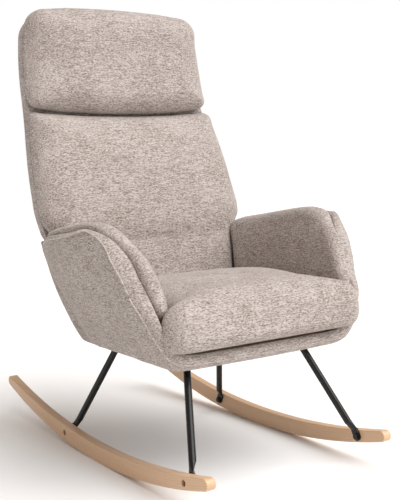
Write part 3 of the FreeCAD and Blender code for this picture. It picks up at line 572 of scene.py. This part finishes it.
def pillow_grid(line, near, far, near_round, far_round, place, rings=16, sides=7):
    """Rings from the far face's middle, round the edge, to the near face's middle.

    A ring on the edge is the outline moved in by r(1 - cos a) and back by r(1 - sin a), where r is
    the rounding; a ring on a face is the outline shrunk towards its middle.  near and far give the
    depth at any point of the outline's plane, and place turns (u, v, depth) into (x, y, z).
    """
    angle = np.linspace(0, np.pi / 2, sides)
    inner_near, inner_far = inset(line, near_round[0]), inset(line, far_round[0])
    middle = line.mean(axis=0)
    shrink = np.linspace(0, 1, rings, endpoint=False)
    loops = []
    for s in shrink:
        flat = middle + (inner_far - middle) * s
        loops.append(place(flat, far(flat)))
    for a in angle:
        flat = inset(line, far_round[0] * (1 - np.sin(a)))
        depth = far(flat)
        loops.append(place(flat, depth + np.sign(near(flat) - depth) * far_round[1] * (1 - np.cos(a))))
    for a in angle[::-1]:
        flat = inset(line, near_round[0] * (1 - np.sin(a)))
        depth = near(flat)
        loops.append(place(flat, depth - np.sign(depth - far(flat)) * near_round[1] * (1 - np.cos(a))))
    for s in shrink[::-1]:
        flat = middle + (inner_near - middle) * s
        loops.append(place(flat, near(flat)))
    return np.stack(loops)


def plump(piece, voxel, pressure, cap, hold, cuts=1):
    """Blows a cover up from the inside with Cloth and keeps the result.

    hold gives each point's grip, from 1 where it is held to 0 where it is free.  The cover moves
    along the simulated path, but no further than cap, and the voxel steps are smoothed away.
    """
    scene = bpy.context.scene
    remesh = piece.modifiers.new("even_faces", "REMESH")
    remesh.mode, remesh.voxel_size, remesh.use_smooth_shade = "VOXEL", voxel, True
    even = bpy.data.meshes.new_from_object(piece.evaluated_get(bpy.context.evaluated_depsgraph_get()))
    piece.modifiers.clear()
    material = piece.data.materials[0]
    piece.data = even
    piece.data.materials.clear()
    piece.data.materials.append(material)
    start = np.empty(len(even.vertices) * 3)
    even.vertices.foreach_get("co", start)
    start = start.reshape(-1, 3)
    grip = np.clip(hold(start), 0, 1)
    group = piece.vertex_groups.new(name="held")
    for level in range(11):
        chosen = np.flatnonzero(np.round(grip * 10).astype(int) == level)
        if level and len(chosen):
            group.add(chosen.tolist(), level / 10, "REPLACE")
    cloth_modifier = piece.modifiers.new("blown", "CLOTH")
    settings = cloth_modifier.settings
    settings.quality, settings.mass = 6, 0.3
    settings.tension_stiffness = settings.compression_stiffness = 25
    settings.shear_stiffness, settings.bending_stiffness = 12, 1.5
    settings.use_pressure, settings.uniform_pressure_force = True, pressure
    settings.vertex_group_mass, settings.pin_stiffness = "held", 1.0
    settings.effector_weights.gravity = 0
    cloth_modifier.collision_settings.use_collision = False
    for step in range(1, 21):
        scene.frame_set(step)
    blown = bpy.data.meshes.new_from_object(piece.evaluated_get(bpy.context.evaluated_depsgraph_get()))
    moved = np.empty(len(start) * 3)
    blown.vertices.foreach_get("co", moved)
    moved = moved.reshape(-1, 3) - start
    length = np.linalg.norm(moved, axis=1, keepdims=True) + 1e-9
    final = start + moved / length * cap * np.tanh(length / cap)
    piece.modifiers.clear()
    piece.vertex_groups.clear()
    bpy.data.meshes.remove(blown)
    scene.frame_set(1)
    pairs = np.empty(len(even.edges) * 2, int)
    even.edges.foreach_get("vertices", pairs)
    pairs = pairs.reshape(-1, 2)
    count = np.bincount(pairs.ravel(), minlength=len(final))[:, None]
    for _ in range(6):
        total = np.zeros_like(final)
        np.add.at(total, pairs[:, 0], final[pairs[:, 1]])
        np.add.at(total, pairs[:, 1], final[pairs[:, 0]])
        final = final * 0.4 + total / count * 0.6
    even.vertices.foreach_set("co", final.ravel())
    even.polygons.foreach_set("use_smooth", np.ones(len(even.polygons), bool))
    even.update()
    if cuts:
        finish = piece.modifiers.new("finish", "SUBSURF")
        finish.levels = finish.render_levels = cuts


CUSHION_OUTLINE = [(-219, 40), (219, 40), (219, -330), (260, -352), (257, -404), (-257, -404), (-260, -352),
                   (-219, -330)]
CUSHION_ROUND = [20, 20, 24, 14, 50, 50, 14, 24]


def cushion_top(flat):
    """Height of the cushion's top: a dome over the middle that falls towards the edges."""
    x, y = flat[:, 0], flat[:, 1]
    dome = (1 - np.clip(np.abs(x) / 0.25, 0, 1) ** 2.6) * (1 - np.clip(np.abs(y + 0.17) / 0.24, 0, 1) ** 2.6)
    return 0.404 + 0.020 * dome - 0.024 * np.clip((y + 0.19) / 0.22, 0, 1) ** 1.5


def cushion_under(flat):
    """Height of the cushion's underside, which lies on the straps and the tub's front."""
    return np.full(len(flat), 0.3035)


def lying(flat, depth):
    """Outline in x and y, depth upwards."""
    return np.stack([flat[:, 0], flat[:, 1], depth], axis=1)


cushion_line = closed_outline(metres(*CUSHION_OUTLINE), metres(*CUSHION_ROUND), 220)
cushion = surface("seat_cushion_cover", pillow_grid(cushion_line, cushion_top, cushion_under, (0.042, 0.042),
                                                    (0.028, 0.028), lying), cloth, wrap=True)
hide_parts("seat_cushion")


def cushion_grip(points):
    """The cushion is held underneath, and free from a little above its lower seam."""
    return np.clip((0.315 - points[:, 2]) / 0.01, 0, 1)


plump(cushion, 0.006, 4.0, 0.007, cushion_grip)

# ---------------------------------------------------------------- arm pads
# A foam pad lines each arm and stands above the rim; its front end turns down to a
# rounded tip beside the cushion, and its rear end runs up to the back cushion.

ARM_PAD_OUTLINE = [(84, 500), (78, 518), (56, 529), (20, 535), (-50, 546), (-120, 556), (-160, 560),
                   (-190, 559), (-215, 554), (-240, 542), (-266, 524), (-292, 500), (-316, 468),
                   (-337, 428), (-349, 400), (-350, 384), (-342, 372), (-326, 360), (-300, 330),
                   (-270, 312), (-150, 308), (0, 312), (36, 330), (52, 400), (70, 470)]


def arm_pad_outer(flat):
    """The pad's outer face lies against the arm's inner wall, which leans out with height."""
    y, z = flat[:, 0], flat[:, 1]
    rim = smooth_line(metres(*RIM_INNER[:13])[::-1], 200)
    order = np.argsort(rim[:, 1])
    rim_x = np.interp(y, rim[order, 1], rim[order, 0])
    rim_z = np.interp(y, rim[order, 1], rim[order, 2])
    foot_x, foot_z = 0.231, 0.296
    lean = np.clip((z - foot_z) / (rim_z - foot_z), 0, 1.15)
    return foot_x + 0.002 + (rim_x - 0.003 - foot_x) * lean


def arm_pad_inner(flat):
    """The pad's inner face: upright beside the cushion, then leaning out over it."""
    y, z = flat[:, 0], flat[:, 1]
    lean = np.interp(z, metres(300, 380, 420, 480, 530, 571), metres(224, 226, 230, 243, 258, 268))
    rear = np.clip((y + 0.03) / 0.10, 0, 1) ** 1.5 * 0.026
    front = np.clip((-0.24 - y) / 0.11, 0, 1) * 0.010 * np.clip((z - 0.38) / 0.1, 0, 1)
    return np.minimum(lean - rear - front, arm_pad_outer(flat) - 0.012)


def upright_left(flat, depth):
    """Outline in y and z, depth to the left."""
    return np.stack([depth, flat[:, 0], flat[:, 1]], axis=1)


def upright_right(flat, depth):
    """The same on the right-hand side."""
    return np.stack([-depth, flat[:, 0], flat[:, 1]], axis=1)


def even_outline(points, count):
    """A smooth closed outline through the points, evenly spaced."""
    points = metres(*points)
    ring = np.concatenate([points[-3:], points, points[:4]])
    fine = smooth_line(ring, 1600)
    first = np.argmin(np.linalg.norm(fine[:800] - points[0], axis=1))
    last = 800 + np.argmin(np.linalg.norm(fine[800:] - points[0], axis=1))
    line = fine[first:last + 1]
    return evenly(line, count)


arm_line = even_outline(ARM_PAD_OUTLINE, 220)
for side, place in (("left", upright_left), ("right", upright_right)):
    piece = surface(side + "_arm_cushion", pillow_grid(arm_line, arm_pad_inner, arm_pad_outer, (0.020, 0.020),
                                                       (0.018, 0.016), place), cloth, wrap=True)
    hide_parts(side + "_arm_pad")
    plump(piece, 0.005, 3.0, 0.004, lambda points: np.full(len(points), 0.3))
    # The arm pad's seam welt, in the lighter cloth: a painted highlight.
    welt = place(inset(arm_line, 0.004), arm_pad_inner(inset(arm_line, 0.004)) + 0.0135)
    tube(side + "_arm_cushion_seam", welt, 0.0015, seam_highlight_cloth, closed=True)

# ---------------------------------------------------------------- back
# A tall leaning back: an upholstered tray behind, and in front of it a lumbar pad and a
# headrest pad, sewn along the tray's edge and tucked against each other in a deep groove.

BACK_REAR = [(480, 164), (505, 175), (560, 193), (600, 207), (660, 228), (720, 249), (780, 271), (830, 289),
             (880, 302), (920, 309), (960, 314), (1000, 315), (1078, 315)]
BACK_HALF = [(480, 262), (505, 270), (560, 279), (600, 278), (660, 275), (720, 269), (780, 261),
             (830, 256), (880, 254), (920, 252), (960, 249), (1000, 246), (1078, 240)]
BACK_THICK, SHELL_DEEP = 0.105, 0.050


def along(table, z):
    """Looks a height up in a table of (height, value), smoothly."""
    line = smooth_line(metres(*table), 300)
    return np.interp(z, line[:, 0], line[:, 1])


def back_outline(low, high, low_round, count=260, dip=0.0, grow=0.0, shoulder=0.058):
    """Closed outline in x and z: leaning sides, rounded lower corners, elliptical shoulders, crowned top.

    dip lifts the lower edge towards its ends by the square of x.
    """
    rise, crown = shoulder * 0.9, 0.009
    z = np.linspace(low, high - rise - crown, 70)
    half = along(BACK_HALF, z) + grow
    near = np.clip(1 - (z - low) / max(low_round, 1e-6), 0, 1)
    half = half - low_round * (1 - np.sqrt(1 - near**2))
    turn = np.linspace(0, np.pi / 2, 20)[1:]
    bend = np.stack([half[-1] - shoulder * (1 - np.cos(turn)), z[-1] + rise * np.sin(turn)], axis=1)
    x = np.linspace(bend[-1, 0], 0, 24)[1:]
    top = np.stack([x, high - crown * (x / bend[-1, 0]) ** 2], axis=1)
    foot_x = np.linspace(0, half[0], 24)[:-1]
    foot = np.stack([foot_x, np.full(23, low)], axis=1)
    right = np.concatenate([foot, np.stack([half, z], axis=1), bend, top])
    right[:, 1] += dip * (right[:, 0] / 0.25) ** 2 * np.clip(1 - (right[:, 1] - low) / 0.12, 0, 1)
    line = np.concatenate([right, (right * (-1, 1))[::-1][1:]])
    return evenly(line, count)


def facing_front(flat, depth):
    """Outline in x and z, depth along y."""
    return np.stack([flat[:, 0], depth, flat[:, 1]], axis=1)


def back_rear(flat):
    """The tray's rear face, bowed a little across."""
    return along(BACK_REAR, flat[:, 1]) - 0.004 * (flat[:, 0] / 0.27) ** 2


def tray_front(flat):
    """Where the tray's edge meets the pads."""
    return along(BACK_REAR, flat[:, 1]) - SHELL_DEEP


def pad_back(flat):
    """The pads' rear faces, just clear of the tray."""
    return along(BACK_REAR, flat[:, 1]) - SHELL_DEEP - 0.001


def headrest_front(flat):
    """Front of the headrest: crowned both ways."""
    x, z = flat[:, 0], flat[:, 1]
    crown = (1 - np.clip(np.abs(x) / 0.25, 0, 1) ** 2.4) * (1 - np.clip(np.abs(z - 0.94) / 0.14, 0, 1) ** 2.4)
    return along(BACK_REAR, z) - BACK_THICK + 0.004 - 0.014 * crown


def lumbar_front(flat):
    """Front of the lumbar pad: it curves forward into the seat at its foot."""
    x, z = flat[:, 0], flat[:, 1]
    crown = (1 - np.clip(np.abs(x) / 0.27, 0, 1) ** 2.4) * (1 - np.clip(np.abs(z - 0.6) / 0.21, 0, 1) ** 3)
    line = np.interp(z, metres(345, 392, 460, 505), metres(30, 42, 62, 76))
    high = along(BACK_REAR, z) - BACK_THICK
    return np.where(z < 0.505, line, high) + 0.004 - 0.010 * crown


def lumbar_back(flat):
    """Rear of the lumbar pad, which runs on down behind the cushion."""
    z = flat[:, 1]
    high = along(BACK_REAR, z) - SHELL_DEEP - 0.001
    low = np.interp(z, metres(345, 392, 460, 505), metres(62, 84, 108, 127))
    return np.where(z < 0.505, low, high)


tray_line = back_outline(0.484, 1.062, 0.03, shoulder=0.072)
tray = surface("back_tray", pillow_grid(tray_line, back_rear, tray_front, (0.024, 0.024),
                                        (0.003, 0.003), facing_front), cloth, wrap=True)
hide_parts("back_shell")
head_line = back_outline(0.802, 1.073, 0.030, dip=0.014, grow=0.004)
head = surface("headrest_cover", pillow_grid(head_line, headrest_front, pad_back, (0.036, 0.036),
                                             (0.004, 0.004), facing_front), cloth, wrap=True)
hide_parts("headrest_pad")


def back_pad_grip(points):
    """The back's pads are held where they are sewn to the tray, behind, and free in front."""
    behind = points[:, 1] - (along(BACK_REAR, points[:, 2]) - SHELL_DEEP - 0.012)
    return np.where(points[:, 2] > 0.5, np.clip(behind / 0.008, 0, 1), 0.6)


plump(head, 0.006, 4.0, 0.006, back_pad_grip)


def lumbar_outline(count=240):
    """The lumbar pad's outline: the back's width above, drawn in between the arms below."""
    z = np.linspace(0.346, 0.806, 60)
    between_arms = np.interp(z, metres(346, 470, 530), metres(222, 240, 272))
    half = np.where(z < 0.53, between_arms, along(BACK_HALF, z) + 0.005)
    near = np.clip(1 - (0.806 - z) / 0.012, 0, 1)
    half = half - 0.012 * (1 - np.sqrt(1 - near**2))
    top_x = np.linspace(half[-1], 0, 24)[1:]
    right = np.concatenate([np.stack([half, z], axis=1), np.stack([top_x, np.full(23, 0.806)], axis=1)])
    lift = 0.012 * (right[:, 0] / 0.25) ** 2 - 0.007
    right[:, 1] += lift * np.clip(1 - (0.806 - right[:, 1]) / 0.12, 0, 1)
    line = np.concatenate([right, (right * (-1, 1))[::-1][1:]])
    line = np.concatenate([line, line[:1]])
    return evenly(line, count)


lumbar = surface("lumbar_cover", pillow_grid(lumbar_outline(), lumbar_front, lumbar_back, (0.030, 0.030),
                                             (0.004, 0.004), facing_front), cloth, wrap=True)
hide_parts("lumbar_pad")
plump(lumbar, 0.006, 3.0, 0.006, back_pad_grip)

# ---------------------------------------------------------------- floor, light and camera
# A pale plain floor, one broad soft sun from the front right and above, and a warm grey
# sky that fills the shadows and looks white behind the chair.


def floor_paint():
    """Matt off-white paint with the faintest cloud."""
    material, tree, shader = new_material("pale_floor", Roughness=0.9, Specular_IOR_Level=0.1)
    place = here(tree)
    cloud = fine_noise(tree, place, 2.0, 2.0)
    tree.links.new(ramp(tree, cloud, (0.3, (0.93, 0.93, 0.93, 1)), (0.7, (0.96, 0.96, 0.96, 1))),
                   shader.inputs["Base Color"])
    return material


corner = np.array([[(-9.0, -9.0, 0.0), (-9.0, 9.0, 0.0)], [(9.0, -9.0, 0.0), (9.0, 9.0, 0.0)]])
floor = surface("floor", corner, floor_paint())
if floor.data.polygons[0].normal.z < 0:
    floor.data.flip_normals()

world = bpy.data.worlds.new("studio")
bpy.context.scene.world = world
world.use_nodes = True
sky = world.node_tree
seen = put(sky, "ShaderNodeLightPath").outputs["Is Camera Ray"]
shade = blend_colour(sky, "MIX", seen, (0.45, 0.415, 0.39, 1), (1, 1, 1, 1))
sky.links.new(shade, sky.nodes["Background"].inputs[0])


def soft_sun(name, aim, strength, spread, colour):
    """A wide, soft sun shining along aim."""
    data = bpy.data.lights.new(name, "SUN")
    data.energy, data.angle, data.color = strength, spread, colour
    light = bpy.data.objects.new(name, data)
    light.rotation_euler = Vector(aim).to_track_quat("-Z", "Y").to_euler()
    bpy.context.collection.objects.link(light)


soft_sun("key", (-0.32, 0.53, -0.79), 3.6, 1.1, (1.0, 0.99, 0.98))

TURN, TILT, ROLL = math.radians(-34.0), math.radians(5.9), math.radians(-1.7)
back = Vector((math.sin(TURN) * math.cos(TILT), -math.cos(TURN) * math.cos(TILT), math.sin(TILT)))
right = (-back).cross(Vector((0, 0, 1))).normalized()
above = right.cross(-back)
across = right * math.cos(ROLL) + above * math.sin(ROLL)
upward = above * math.cos(ROLL) - right * math.sin(ROLL)
lens = bpy.data.cameras.new("camera")
lens.lens, lens.sensor_width, lens.sensor_fit = 64.8, 36.0, "AUTO"
camera = bpy.data.objects.new("camera", lens)
facing = Matrix((across, upward, back)).transposed().to_4x4()
camera.matrix_world = Matrix.Translation((-1.156, -1.833, 0.688)) @ facing
bpy.context.collection.objects.link(camera)
bpy.context.scene.camera = camera
bpy.context.scene.view_settings.view_transform = "Standard"
